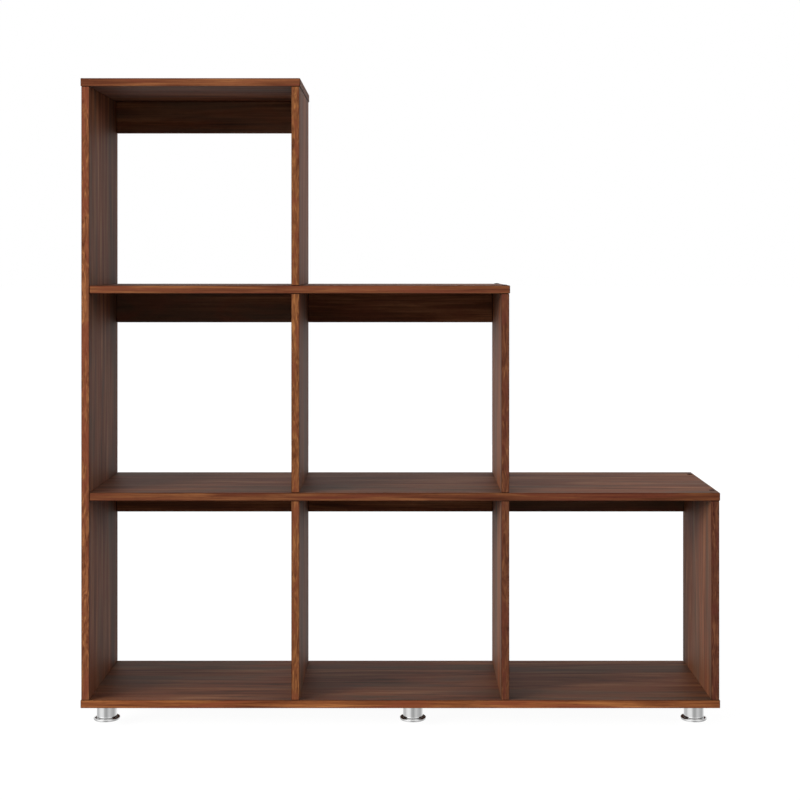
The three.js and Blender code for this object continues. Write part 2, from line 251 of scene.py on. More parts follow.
class FootSettings(bpy.types.PropertyGroup):
    """Turned details of the six levelling feet."""
    chrome: colour_prop("Chrome", "Reflection colour of the chrome plate", "#e2e2e2")
    nylon: colour_prop("Insert", "Colour of the nylon insert", "#1b1b1c")
    nylon_light: colour_prop("Insert, light", "Lighter specks of the nylon", "#2b2b2c")
    wall: length_prop("Sleeve wall", "Wall of the chrome sleeve", 1.3)
    lip: length_prop("Sleeve lip", "Radius of the sleeve's rounded lower edge", 0.5)
    flange: length_prop("Flange thickness", "Thickness of the base's flange", 5.3)
    rim_top: length_prop("Rim top", "Radius of the flange's upper edge", 1.5)
    rim_bottom: length_prop("Rim bottom", "Radius of the flange's lower edge", 2.2)
    hub: length_prop("Hub diameter", "Diameter of the base's hub", 24)
    hub_rise: length_prop("Hub rise", "Height of the hub above the flange", 2.7)
    hub_edge: length_prop("Hub edge", "Radius of the hub's upper edge", 0.5)
    stem: length_prop("Stem diameter", "Outer diameter of the threaded stem", 10)
    stem_edge: length_prop("Stem edge", "Radius of the stem's upper edge", 1)
    thread_end: length_prop("Thread end", "Plain length at the stem's upper end", 1.5)
    pitch: length_prop("Thread pitch", "Rise of the stem's thread in one turn", 1.5)
    bore: length_prop("Insert bore", "Bore of the insert for the stem", 10.4)
    bore_gap: length_prop("Bore gap", "From the stem's end to the roof of the insert's bore", 0.5)
    bore_edge: length_prop("Bore edge", "Radius of the bore's lower edge", 0.6)
    insert_edge: length_prop("Insert edge", "Radius of the insert's lower edge", 0.5)
    spigot: length_prop("Spigot diameter", "Diameter of the insert's spigot in the board", 12)
    spigot_edge: length_prop("Spigot edge", "Radius of the spigot's upper edge", 1)


class FastenerSettings(bpy.types.PropertyGroup):
    """Screws in the boards and the caps over them."""
    cap: colour_prop("Cap", "Colour of the moulded cap", "#26150f")
    cap_light: colour_prop("Cap, light", "Lighter flow marks of the cap", "#331e15")
    steel: colour_prop("Screw steel", "Colour of the zinc-plated screws", "#a3a29d")
    steel_dark: colour_prop("Screw steel, dark", "Darker clouds of the plating", "#85847f")
    cap_skirt: length_prop("Cap skirt", "Straight part of the cap's edge", 0.45)
    peg: length_prop("Cap peg", "Diameter of the cap's peg", 3.4)
    peg_length: length_prop("Cap peg length", "From the peg's end to the cap's underside", 2.2)
    head: length_prop("Screw head", "Diameter of the screw heads under the bottom board", 9)
    head_rim: length_prop("Screw head rim", "Height of the finished rim of those heads", 0.4)
    inset: length_prop("Screw inset", "From the board's front or back to the screw", 34)
    reveal: length_prop("Reveal", "How far a head's finished face lies below the fused screw's", 0.05)
    socket: length_prop("Socket", "Width across the flats of the hexagon socket", 3.8)
    socket_depth: length_prop("Socket depth", "Depth of the hexagon socket", 2.4)


class StageSettings(bpy.types.PropertyGroup):
    """Camera, lamps and floor."""
    lens: FloatProperty(
        name="Lens", description="Focal length on a 36 mm sensor", unit="CAMERA", default=71.52)
    distance: length_prop("Camera distance", "From the unit's middle to the camera", 3131)
    height: length_prop("Camera height", "Height of the camera above the unit's feet", 861.4)
    shift_x: FloatProperty(name="Shift X", description="Sideways shift of the lens", default=-0.0004)
    shift_y: FloatProperty(name="Shift Y", description="Vertical shift of the lens", default=-0.1678)
    key: power_prop("Key lamp", "Power of the main lamp", 1070)
    fill: power_prop("Fill lamp", "Power of the second lamp", 250)
    rear: power_prop("Rear lamp", "Power of the lamp behind the unit", 100)
    ambient: FloatProperty(name="Ambient", description="Strength of the studio's plain walls", default=0.1)
    dome: FloatProperty(name="Dome", description="Strength of the diffuser overhead", default=1.45)
    floor: colour_prop("Floor", "Colour of the floor", "#c0c0c0")
    floor_light: colour_prop("Floor, light", "Lighter fibres of the floor", "#c9c9c9")


def add_node(tree, kind, inputs=None, stops=(), **settings):
    """Adds one node with its settings, sets or links its inputs and places its colour stops."""
    node = tree.nodes.new(kind)
    for name, value in settings.items():
        setattr(node, name, value)
    for name, value in (inputs or {}).items():
        if isinstance(value, bpy.types.NodeSocket):
            tree.links.new(value, node.inputs[name])
        else:
            node.inputs[name].default_value = value
    for index, (position, colour) in enumerate(stops):
        elements = node.color_ramp.elements
        stop = elements[index] if index < len(elements) else elements.new(position)
        stop.position = position
        stop.color = (*colour, 1)
    return node


def new_material(name):
    """A material with one principled shader, as (material, its node tree, the shader)."""
    material = bpy.data.materials.new(name)
    material.use_nodes = True
    tree = material.node_tree
    return material, tree, tree.nodes["Principled BSDF"]


def turned_point(turn, point):
    """Where a point lands when a mapping node turns it by these angles."""
    about_x, about_y, about_z = (Matrix.Rotation(angle, 3, axis) for angle, axis in zip(turn, "XYZ"))
    return about_z @ about_y @ about_x @ Vector(point)


def walnut_melamine(name, turn, centre, length, thickness, figure, edge_tone, seed):
    """Walnut print under melamine on chipboard, with a printed edge band: brown ground with grey-brown
    heartwood bands, streaks and fine pores on the faces, a warmer flamed figure with reddish patches on
    the edges, and a thin dark line along the edge band's borders and over the eased corners. That line is
    partly the trimmed band's own line and partly painted shade, standing in for the shade that falls
    along the eased edges and into the joints between boards. Real pores and trimmed borders are a
    fifth of a millimetre wide, too fine to show, so both are drawn coarser."""
    walnut = bpy.context.scene.bookshelf_walnut
    shade, hue, saturation = edge_tone
    flame_length, flame_width, swirl, curl_share, edge_step = figure
    material, tree, shader = new_material(name)
    coordinates = add_node(tree, "ShaderNodeTexCoord")
    grain = add_node(tree, "ShaderNodeMapping", {
        "Vector": coordinates.outputs["Object"], "Rotation": turn,
        "Location": Vector(seed) - turned_point(turn, centre)}, vector_type="POINT")

    # How far a place belongs to a face, and to the eased corner of an edge, which gets painted shade
    normal = add_node(tree, "ShaderNodeMapping", {
        "Vector": coordinates.outputs["Normal"], "Rotation": turn}, vector_type="VECTOR")
    facing = add_node(tree, "ShaderNodeSeparateXYZ", {"Vector": normal.outputs["Vector"]})
    straight = [
        add_node(tree, "ShaderNodeMath", {0: facing.outputs[axis]}, operation="ABSOLUTE").outputs["Value"]
        for axis in "XYZ"]
    sideways = add_node(tree, "ShaderNodeMath", {0: straight[0], 1: straight[1]}, operation="MAXIMUM")
    steepest = add_node(tree, "ShaderNodeMath", {
        0: sideways.outputs["Value"], 1: straight[2]}, operation="MAXIMUM")
    on_face = add_node(tree, "ShaderNodeMapRange", {
        "Value": straight[2], "From Min": FACE_FROM, "From Max": FACE_TO})
    corner_trim_and_shade = add_node(tree, "ShaderNodeMapRange", {
        "Value": steepest.outputs["Value"], "From Min": CORNER_FROM, "From Max": CORNER_TO})

    # Noises drawn out along the grain: their length, width, detail, roughness and distortion
    patterns = {
        "bands": (walnut.streak_length * 1.5, walnut.band_width, 2, 0.5, 0.5),
        "clouds": (walnut.streak_length / 4, walnut.band_width / 2, 3, 0.5, 0.8),
        "streaks": (walnut.streak_length, walnut.streak_width, 5, 0.6, 1),
        "threads": (walnut.streak_length / 2, walnut.streak_width / 8, 3, 0.6, 0.3),
        "pores": (walnut.pore_length, walnut.pore_width, 1, 0.5, 0),
        "flames": (flame_length, flame_width, 3, 0.55, swirl),
        "curls": (flame_length / 2, flame_width / 4, 3, 0.55, swirl),
        "patches": (flame_length * 1.5, flame_width * 3, 2, 0.5, 1),
    }
    noises = {}
    for pattern, (along, across, detail, roughness, distortion) in patterns.items():
        drawn = add_node(tree, "ShaderNodeMapping", {
            "Vector": grain.outputs["Vector"], "Scale": (1 / along, 1 / across, 1 / across)})
        noises[pattern] = add_node(tree, "ShaderNodeTexNoise", {
            "Vector": drawn.outputs["Vector"], "Scale": 1, "Detail": detail,
            "Roughness": roughness, "Distortion": distortion}).outputs["Fac"]
    shares = {
        pattern: add_node(tree, "ShaderNodeMapRange", {
            "Value": noises[pattern], "From Min": low, "From Max": high, "To Max": most}).outputs["Result"]
        for pattern, (low, high, most) in PRINT_SHARES.items()}

    # The faces' print
    face_tone = add_node(tree, "ShaderNodeMix", {
        "Factor": THREAD_SHARE, "A": noises["streaks"], "B": noises["threads"]}).outputs["Result"]
    face = add_node(tree, "ShaderNodeValToRGB", {"Fac": face_tone}, stops=(
        (0.5 - FACE_STEP, walnut.face_dark),
        (0.5, walnut.face_middle),
        (0.5 + FACE_STEP, walnut.face_light))).outputs["Color"]
    for tint, share in ((walnut.face_grey, shares["bands"]), (walnut.face_red, shares["clouds"])):
        face = add_node(tree, "ShaderNodeMix", {
            FACTOR: share, COLOUR_A: face, COLOUR_B: (*tint, 1)}, data_type="RGBA").outputs[MIXED]

    # The edge band's print, with its dark borders across the board's length and thickness: partly the
    # trimmed band's line, partly painted shade along the eased edges and joints
    edge_tones = add_node(tree, "ShaderNodeMix", {
        "Factor": curl_share, "A": noises["flames"], "B": noises["curls"]})
    flamed = add_node(tree, "ShaderNodeValToRGB", {"Fac": edge_tones.outputs["Result"]}, stops=(
        (0.5 - edge_step, walnut.edge_dark),
        (0.5, walnut.edge_middle),
        (0.5 + edge_step, walnut.edge_light)))
    patched = add_node(tree, "ShaderNodeMix", {
        FACTOR: shares["patches"], COLOUR_A: flamed.outputs["Color"], COLOUR_B: (*walnut.edge_red, 1)},
        data_type="RGBA")
    # Each board's value darkens or lightens its band; the right-hand uprights' darker value is painted
    # shade
    edge = add_node(tree, "ShaderNodeHueSaturation", {
        "Hue": hue, "Saturation": saturation, "Value": shade, "Color": patched.outputs[MIXED],
    }).outputs["Color"]
    place = add_node(tree, "ShaderNodeSeparateXYZ", {"Vector": grain.outputs["Vector"]})
    for axis, start, size in (("X", seed[0], length), ("Z", seed[2], thickness)):
        aside = add_node(tree, "ShaderNodeMath", {0: place.outputs[axis], 1: start}, operation="SUBTRACT")
        out = add_node(tree, "ShaderNodeMath", {0: aside.outputs["Value"]}, operation="ABSOLUTE")
        line = size / 2 - walnut.border
        border = add_node(tree, "ShaderNodeMapRange", {
            "Value": out.outputs["Value"], "From Min": line - walnut.border / 2,
            "From Max": line + walnut.border / 2, "To Max": BORDER_SHARE})
        edge = add_node(tree, "ShaderNodeMix", {
            FACTOR: border.outputs["Result"], COLOUR_A: edge, COLOUR_B: (*walnut.corner, 1)},
            data_type="RGBA").outputs[MIXED]

    # Both together, with the pores and the dark corners over them; the dark corners are partly the trimmed
    # band's line and partly painted shade
    board = edge
    for layer, share in (
            (face, on_face.outputs["Result"]),
            ((*walnut.face_dark, 1), shares["pores"]),
            ((*walnut.corner, 1), corner_trim_and_shade.outputs["Result"])):
        board = add_node(tree, "ShaderNodeMix", {
            FACTOR: share, COLOUR_A: board, COLOUR_B: layer}, data_type="RGBA").outputs[MIXED]
    rough = add_node(tree, "ShaderNodeMapRange", {
        "Value": face_tone, "From Min": 0.3, "From Max": 0.7, "To Min": 0.65, "To Max": 0.57})
    relief = add_node(tree, "ShaderNodeMix", {
        "Factor": THREAD_RELIEF_SHARE, "A": shares["pores"], "B": noises["threads"]})
    bump = add_node(tree, "ShaderNodeBump", {
        "Height": relief.outputs["Result"], "Strength": 0.25, "Distance": 0.05 * MM}, invert=True)
    tree.links.new(board, shader.inputs["Base Color"])
    tree.links.new(rough.outputs["Result"], shader.inputs["Roughness"])
    shader.inputs["Specular IOR Level"].default_value = 0.05
    tree.links.new(bump.outputs["Normal"], shader.inputs["Normal"])
    return material


def chrome_plate():
    """Polished chrome on turned steel: a near mirror, softened by faint turning lines and by smudges
    of lower gloss."""
    feet = bpy.context.scene.bookshelf_feet
    material, tree, shader = new_material(CHROME)
    coordinates = add_node(tree, "ShaderNodeTexCoord")
    lines = add_node(tree, "ShaderNodeMapping", {
        "Vector": coordinates.outputs["Object"],
        "Scale": (1 / TURNING_SPREAD, 1 / TURNING_SPREAD, 1 / TURNING_LINE)})
    turning = add_node(tree, "ShaderNodeTexNoise", {
        "Vector": lines.outputs["Vector"], "Scale": 1, "Detail": 2})
    smudge = add_node(tree, "ShaderNodeTexNoise", {
        "Vector": coordinates.outputs["Object"], "Scale": 1 / SMUDGE, "Detail": 3})
    gloss = add_node(tree, "ShaderNodeMapRange", {
        "Value": smudge.outputs["Fac"], "From Min": 0.35, "From Max": 0.7, "To Min": 0.05, "To Max": 0.13})
    bump = add_node(tree, "ShaderNodeBump", {
        "Height": turning.outputs["Fac"], "Strength": 0.08, "Distance": 0.01 * MM})
    shader.inputs["Base Color"].default_value = (*feet.chrome, 1)
    shader.inputs["Metallic"].default_value = 1
    tree.links.new(gloss.outputs["Result"], shader.inputs["Roughness"])
    tree.links.new(bump.outputs["Normal"], shader.inputs["Normal"])
    return material


def moulded_nylon():
    """Black nylon as it leaves the mould: matt, with a fine spark-eroded grain."""
    feet = bpy.context.scene.bookshelf_feet
    material, tree, shader = new_material("moulded black nylon")
    coordinates = add_node(tree, "ShaderNodeTexCoord")
    grain = add_node(tree, "ShaderNodeTexNoise", {
        "Vector": coordinates.outputs["Object"], "Scale": 1 / NYLON_GRAIN, "Detail": 3})
    tone = add_node(tree, "ShaderNodeMix", {
        FACTOR: grain.outputs["Fac"], COLOUR_A: (*feet.nylon, 1), COLOUR_B: (*feet.nylon_light, 1)},
        data_type="RGBA")
    bump = add_node(tree, "ShaderNodeBump", {
        "Height": grain.outputs["Fac"], "Strength": 0.4, "Distance": 0.05 * MM})
    tree.links.new(tone.outputs[MIXED], shader.inputs["Base Color"])
    shader.inputs["Roughness"].default_value = 0.6
    tree.links.new(bump.outputs["Normal"], shader.inputs["Normal"])
    return material


def zinc_steel():
    """Zinc-plated steel: cool grey metal, half glossy, with a cloudy plating."""
    fasteners = bpy.context.scene.bookshelf_fasteners
    material, tree, shader = new_material("zinc-plated steel")
    coordinates = add_node(tree, "ShaderNodeTexCoord")
    cloud = add_node(tree, "ShaderNodeTexNoise", {
        "Vector": coordinates.outputs["Object"], "Scale": 1 / PLATING_CLOUD, "Detail": 4})
    tone = add_node(
        tree, "ShaderNodeValToRGB", {"Fac": cloud.outputs["Fac"]},
        stops=((0.3, fasteners.steel_dark), (0.7, fasteners.steel)))
    gloss = add_node(tree, "ShaderNodeMapRange", {
        "Value": cloud.outputs["Fac"], "From Min": 0.3, "From Max": 0.7, "To Min": 0.28, "To Max": 0.42})
    bump = add_node(tree, "ShaderNodeBump", {
        "Height": cloud.outputs["Fac"], "Strength": 0.2, "Distance": 0.02 * MM})
    tree.links.new(tone.outputs["Color"], shader.inputs["Base Color"])
    shader.inputs["Metallic"].default_value = 1
    tree.links.new(gloss.outputs["Result"], shader.inputs["Roughness"])
    tree.links.new(bump.outputs["Normal"], shader.inputs["Normal"])
    return material


def moulded_cap_plastic():
    """Brown polypropylene as it leaves the mould: a dark, nearly matt skin with faint flow marks."""
    fasteners = bpy.context.scene.bookshelf_fasteners
    material, tree, shader = new_material("moulded brown polypropylene")
    coordinates = add_node(tree, "ShaderNodeTexCoord")
    flow = add_node(tree, "ShaderNodeTexNoise", {
        "Vector": coordinates.outputs["Object"], "Scale": 1 / FLOW_MARK, "Detail": 3})
    tone = add_node(
        tree, "ShaderNodeValToRGB", {"Fac": flow.outputs["Fac"]},
        stops=((0.3, fasteners.cap), (0.75, fasteners.cap_light)))
    bump = add_node(tree, "ShaderNodeBump", {
        "Height": flow.outputs["Fac"], "Strength": 0.15, "Distance": 0.03 * MM})
    tree.links.new(tone.outputs["Color"], shader.inputs["Base Color"])
    shader.inputs["Roughness"].default_value = 0.65
    shader.inputs["Specular IOR Level"].default_value = 0.1
    tree.links.new(bump.outputs["Normal"], shader.inputs["Normal"])
    return material


def turned_ring(bm, outline, steps, closed=False):
    """Turns an outline of (radius, height) corners about Z."""
    corners = [bm.verts.new((radius, 0, height)) for radius, height in outline]
    pairs = list(zip(corners, corners[1:]))
    if closed:
        pairs.append((corners[-1], corners[0]))
    edges = [bm.edges.new(pair) for pair in pairs]
    bmesh.ops.spin(
        bm, geom=corners + edges, cent=(0, 0, 0), axis=(0, 0, 1), dvec=(0, 0, 0), angle=FULL_TURN,
        steps=steps, use_merge=True)
    bmesh.ops.remove_doubles(bm, verts=bm.verts, dist=MERGE_DISTANCE)


def round_rings(bm, rings, segments):
    """Rounds the circular edges that lie at each (radius, height) by the size that follows them."""
    for radius, height, size in rings:
        chosen = [
            edge for edge in bm.edges
            if all(
                abs(math.hypot(vert.co.x, vert.co.y) - radius) < RING_TOLERANCE
                and abs(vert.co.z - height) < RING_TOLERANCE
                for vert in edge.verts)]
        bmesh.ops.bevel(
            bm, geom=chosen, offset=size, offset_type="OFFSET", affect="EDGES", segments=segments,
            profile=0.5, material=-1, clamp_overlap=False)


def add_thread(bm, core, crest, pitch, bottom, turns):
    """Winds one closed V-shaped ridge round Z."""
    foot = pitch * THREAD_FOOT_SHARE
    flat = pitch * THREAD_CREST_SHARE
    outline = ((core, bottom - foot), (crest, bottom - flat), (crest, bottom + flat), (core, bottom + foot))
    face = bm.faces.new([bm.verts.new((radius, 0, height)) for radius, height in outline])
    bmesh.ops.spin(
        bm, geom=[face], cent=(0, 0, 0), axis=(0, 0, 1), dvec=(0, 0, pitch / THREAD_STEPS),
        angle=FULL_TURN * turns, steps=round(THREAD_STEPS * turns))


def finished_piece(bm, name, place, material, body, replaced=()):
    """Makes a piece of a bmesh, in its place, ties it to its body and hides the nodes that it
    replaces."""
    bmesh.ops.transform(bm, matrix=place, verts=bm.verts)
    bmesh.ops.recalc_face_normals(bm, faces=bm.faces)
    for face in bm.faces:
        face.smooth = True
    for edge in bm.edges:
        edge.smooth = edge.calc_face_angle(0) < SMOOTH_LIMIT
    mesh = bpy.data.meshes.new(name)
    bm.to_mesh(mesh)
    bm.free()
    mesh.materials.append(material)
    piece = bpy.data.objects.new(name, mesh)
    bpy.context.scene.collection.objects.link(piece)
    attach(piece, body)
    for node in replaced:
        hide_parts(node)
    return piece


def foot_middle(foot):
    """The X and Y of a foot's axis."""
    low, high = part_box(foot + "_sleeve")
    return (low.x + high.x) / 2, (low.y + high.y) / 2


class BOOKSHELF_OT_finish_boards(bpy.types.Operator):
    """Gives every board its walnut, with the grain along the board"""
    bl_idname = "bookshelf.finish_boards"
    bl_label = "Finish Boards"

    def execute(self, context):
        kinds = (
            (SHELVES, (0, 0, 0), LONG_FIGURE),
            (UPRIGHTS, (0, QUARTER_TURN, 0), CURLY_FIGURE),
            (RAILS, (QUARTER_TURN, 0, 0), LONG_FIGURE),
        )
        for names, turn, figure in kinds:
            for index, name in enumerate(names):
                low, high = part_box(name)
                centre = (low + high) / 2
                seed = (index * SEED_STEP_X, index * SEED_STEP_Y, SEED_Z)
                size = high - low
                tone = EDGE_TONES.get(name, PLAIN_EDGE)
                walnut = walnut_melamine(
                    f"walnut melamine, {name}", turn, centre, max(size), min(size), figure, tone, seed)
                board = frame["nodes"][name]
                board.data.materials.clear()
                board.data.materials.append(walnut)
        return {"FINISHED"}


class BOOKSHELF_OT_make_caps(bpy.types.Operator):
    """Makes the domed caps that cover the screws"""
    bl_idname = "bookshelf.make_caps"
    bl_label = "Make Caps"

    def execute(self, context):
        settings = context.scene.bookshelf_fasteners
        plastic = moulded_cap_plastic()
        for name in CAPS:
            low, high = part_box(name)
            size = high - low
            radius = max(size) / 2
            middle = (low + high) / 2
            place = Matrix.Translation((middle.x, middle.y, low.z))
            if size.z > min(size):
                # A cap on the left panel's outside lies on its side and points left
                place = Matrix.Translation((high.x, middle.y, middle.z))
                place @= Matrix.Rotation(-QUARTER_TURN, 4, "Y")
            peg = settings.peg / 2
            underside = settings.peg_length
            skirt = underside + settings.cap_skirt
            rise = min(size) - skirt
            outline = [(0, 0), (peg, 0), (peg, underside), (radius, underside), (radius, skirt)]
            arc = [QUARTER_TURN * step / DOME_STEPS for step in range(1, DOME_STEPS + 1)]
            outline += [(radius * math.cos(angle), skirt + rise * math.sin(angle)) for angle in arc]
            bm = bmesh.new()
            turned_ring(bm, outline, CAP_STEPS)
            finished_piece(bm, "moulded_" + name, place, plastic, BODY, [name])
        return {"FINISHED"}


def socket_face(bm, radius, flats, depth, rim):
    """A screw head's flat face, looking down, with a hexagon socket: a rim, a ring and a six-sided
    pit."""
    ring = bmesh.ops.create_circle(bm, cap_ends=False, segments=HEAD_STEPS, radius=radius)["verts"]
    corner = flats / math.sqrt(3)
    hexagon = bmesh.ops.create_circle(bm, cap_ends=False, segments=6, radius=corner)["verts"]
    ring_edges, hexagon_edges = (
        list(dict.fromkeys(edge for vert in circle for edge in vert.link_edges))
        for circle in (ring, hexagon))
    bmesh.ops.bridge_loops(bm, edges=ring_edges + hexagon_edges)
    walls = bmesh.ops.extrude_edge_only(bm, edges=hexagon_edges)["geom"]
    lowered = [item for item in walls if isinstance(item, bmesh.types.BMVert)]
    bmesh.ops.translate(bm, verts=lowered, vec=(0, 0, depth))
    bmesh.ops.contextual_create(bm, geom=lowered)
    skirt = bmesh.ops.extrude_edge_only(bm, edges=ring_edges)["geom"]
    raised = [item for item in skirt if isinstance(item, bmesh.types.BMVert)]
    bmesh.ops.translate(bm, verts=raised, vec=(0, 0, rim))


class BOOKSHELF_OT_make_screws(bpy.types.Operator):
    """Finishes the screws in steel and makes the heads under the bottom board"""
    bl_idname = "bookshelf.make_screws"
    bl_label = "Make Screws"

    def execute(self, context):
        settings = context.scene.bookshelf_fasteners
        steel = zinc_steel()
        for name in SCREWS:
            screw = frame["nodes"][name]
            screw.data.materials.clear()
            screw.data.materials.append(steel)
        for name in GROUND_UPRIGHTS:
            low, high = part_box(name)
            for end, y in (("front", low.y + settings.inset), ("back", high.y - settings.inset)):
                bm = bmesh.new()
                socket_face(
                    bm, settings.head / 2, settings.socket, settings.socket_depth, settings.head_rim)
                place = Matrix.Translation(((low.x + high.x) / 2, y, low.z - settings.reveal))
                finished_piece(bm, f"milled_{name}_{end}_head", place, steel, BODY)
        return {"FINISHED"}


class BOOKSHELF_OT_make_sleeves(bpy.types.Operator):
    """Makes the chrome sleeves of the feet"""
    bl_idname = "bookshelf.make_sleeves"
    bl_label = "Make Sleeves"

    def execute(self, context):
        settings = context.scene.bookshelf_feet
        chrome = bpy.data.materials.get(CHROME) or chrome_plate()
        for foot in FEET:
            low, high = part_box(foot + "_sleeve")
            outside = (high.x - low.x) / 2
            inside = outside - settings.wall
            bm = bmesh.new()
            outline = [(inside, low.z), (outside, low.z), (outside, high.z), (inside, high.z)]
            turned_ring(bm, outline, FOOT_STEPS, closed=True)
            round_rings(
                bm, [(outside, low.z, settings.lip), (inside, low.z, settings.lip / 2)], LIP_SEGMENTS)
            place = Matrix.Translation((*foot_middle(foot), 0))
            finished_piece(
                bm, f"turned_{foot}_sleeve", place, chrome, BODY, [foot + "_sleeve"])
        return {"FINISHED"}


class BOOKSHELF_OT_make_bases(bpy.types.Operator):
    """Makes the chrome bases with their threaded stems"""
    bl_idname = "bookshelf.make_bases"
    bl_label = "Make Bases"

    def execute(self, context):
        settings = context.scene.bookshelf_feet
        chrome = bpy.data.materials.get(CHROME) or chrome_plate()
        for foot in FEET:
            low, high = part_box(foot + "_base")
            radius = (high.x - low.x) / 2
            flange = settings.flange
            hub = settings.hub / 2
            hub_top = flange + settings.hub_rise
            crest = settings.stem / 2
            core = crest - settings.pitch * THREAD_DEPTH_SHARE
            bm = bmesh.new()
            outline = [
                (0, 0), (radius, 0), (radius, flange), (hub, flange), (hub, hub_top), (core, hub_top),
                (core, high.z), (0, high.z)]
            turned_ring(bm, outline, FOOT_STEPS)
            round_rings(
                bm, [(radius, 0, settings.rim_bottom), (radius, flange, settings.rim_top)], FINE_SEGMENTS)
            round_rings(
                bm, [(hub, hub_top, settings.hub_edge), (core, high.z, settings.stem_edge)], EDGE_SEGMENTS)
            turns = math.floor((high.z - settings.thread_end - hub_top) / settings.pitch)
            first_crest = hub_top + settings.pitch / 2
            add_thread(bm, core - THREAD_SINK, crest, settings.pitch, first_crest, turns)
            place = Matrix.Translation((*foot_middle(foot), low.z))
            finished_piece(bm, f"turned_{foot}_base", place, chrome, foot, [foot + "_base"])
        return {"FINISHED"}


class BOOKSHELF_OT_make_inserts(bpy.types.Operator):
    """Makes the nylon inserts that hold the sleeves and take the stems"""
    bl_idname = "bookshelf.make_inserts"
    bl_label = "Make Inserts"

    def execute(self, context):
        settings = context.scene.bookshelf_feet
        nylon = moulded_nylon()
        for foot in FEET:
            low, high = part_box(foot + "_insert")
            sleeve_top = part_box(foot + "_sleeve")[1].z
            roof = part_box(foot + "_base")[1].z + settings.bore_gap
            outside = (high.x - low.x) / 2
            bore = settings.bore / 2
            spigot = settings.spigot / 2
            bm = bmesh.new()
            outline = [
                (0, roof), (bore, roof), (bore, low.z), (outside, low.z), (outside, sleeve_top),
                (spigot, sleeve_top), (spigot, high.z), (0, high.z)]
            turned_ring(bm, outline, INSERT_STEPS)
            edges = [
                (bore, low.z, settings.bore_edge), (outside, low.z, settings.insert_edge),
                (spigot, high.z, settings.spigot_edge)]
            round_rings(bm, edges, EDGE_SEGMENTS)
            place = Matrix.Translation((*foot_middle(foot), 0))
            finished_piece(
                bm, f"moulded_{foot}_insert", place, nylon, BODY, [foot + "_insert"])
        return {"FINISHED"}


def soft_box(name, power, azimuth, elevation, distance, width, height):
    """A soft box that faces the unit, by its angles in degrees as the unit sees it and its sizes in
    metres. Metal doesn't show it: the studio's own walls stand in for it there."""
    middle = (CAD_BOX[0] + CAD_BOX[1]) / 2
    around, above = math.radians(azimuth), math.radians(elevation)
    out = Vector((math.sin(around) * math.cos(above), -math.cos(around) * math.cos(above), math.sin(above)))
    data = bpy.data.lights.new(name, "AREA")
    data.shape = "RECTANGLE"
    data.size = width
    data.size_y = height
    data.energy = power
    lamp = bpy.data.objects.new(name, data)
    lamp.location = middle + out * distance
    lamp.rotation_euler = out.to_track_quat("Z", "Y").to_euler()
    lamp.visible_glossy = False
    bpy.context.scene.collection.objects.link(lamp)


def studio_world(settings):
    """Dim plain walls and a bright diffuser overhead for the light, white where the camera looks, and
    walls of several greys under a white ceiling for metal to show."""
    world = bpy.data.worlds.new("pale studio")
    world.use_nodes = True
    tree = world.node_tree
    tree.nodes.clear()
    rays = add_node(tree, "ShaderNodeLightPath")
    direction = add_node(tree, "ShaderNodeTexCoord")
    parts = add_node(tree, "ShaderNodeSeparateXYZ", {"Vector": direction.outputs["Generated"]})
    rise = parts.outputs["Z"]
    forward = add_node(tree, "ShaderNodeMath", {0: parts.outputs["Y"], 1: -1}, operation="MULTIPLY")

    # The light: the diffuser lies overhead and fades out towards the front
    behind = add_node(tree, "ShaderNodeMapRange", {
        "Value": forward.outputs["Value"], "From Min": 0.3, "From Max": 0})
    above = add_node(tree, "ShaderNodeMapRange", {"Value": rise, "From Min": 0.78, "From Max": 0.92})
    diffuser = add_node(tree, "ShaderNodeMath", {
        0: behind.outputs["Result"], 1: above.outputs["Result"]}, operation="MULTIPLY")
    strength = add_node(tree, "ShaderNodeMath", {
        0: diffuser.outputs["Value"], 1: settings.dome, 2: settings.ambient}, operation="MULTIPLY_ADD")
    lit = add_node(tree, "ShaderNodeBackground", {
        "Color": (1, 1, 1, 1), "Strength": strength.outputs["Value"]})

    # What metal shows: the walls, brighter upwards and brightest in front above the horizon
    angle = add_node(tree, "ShaderNodeMath", {
        0: parts.outputs["X"], 1: forward.outputs["Value"]}, operation="ARCTAN2")
    share = add_node(tree, "ShaderNodeMapRange", {
        "Value": angle.outputs["Value"], "From Min": -math.pi, "From Max": math.pi})
    walls = add_node(tree, "ShaderNodeValToRGB", {"Fac": share.outputs["Result"]}, stops=[
        (position, (level, level, level)) for position, level in WALLS])
    ceiling = add_node(tree, "ShaderNodeMapRange", {"Value": rise, "From Min": 0.3, "From Max": 0.6})
    room = add_node(tree, "ShaderNodeMix", {
        FACTOR: ceiling.outputs["Result"], COLOUR_A: walls.outputs["Color"], COLOUR_B: (1, 1, 1, 1)},
        data_type="RGBA")
    height = add_node(tree, "ShaderNodeMapRange", {
        "Value": rise, "From Min": -0.05, "From Max": 0.2, "To Min": 1, "To Max": 1.14})
    front = add_node(tree, "ShaderNodeMapRange", {
        "Value": forward.outputs["Value"], "From Min": 0.1, "From Max": 0.5})
    raised = add_node(tree, "ShaderNodeMapRange", {
        "Value": rise, "From Min": -0.18, "From Max": 0, "To Max": 0.8})
    brightness = add_node(tree, "ShaderNodeMath", {
        0: front.outputs["Result"], 1: raised.outputs["Result"], 2: height.outputs["Result"]},
        operation="MULTIPLY_ADD")
    mirrored = add_node(tree, "ShaderNodeBackground", {
        "Color": room.outputs[MIXED], "Strength": brightness.outputs["Value"]})

    white = add_node(tree, "ShaderNodeBackground", {"Color": (1, 1, 1, 1), "Strength": 1})
    shown = lit.outputs["Background"]
    for kind, background in (
            ("Is Glossy Ray", mirrored), ("Is Transmission Ray", white), ("Is Camera Ray", white)):
        shown = add_node(tree, "ShaderNodeMixShader", {
            0: rays.outputs[kind], 1: shown, 2: background.outputs["Background"]}).outputs["Shader"]
    add_node(tree, "ShaderNodeOutputWorld", {"Surface": shown})
    bpy.context.scene.world = world


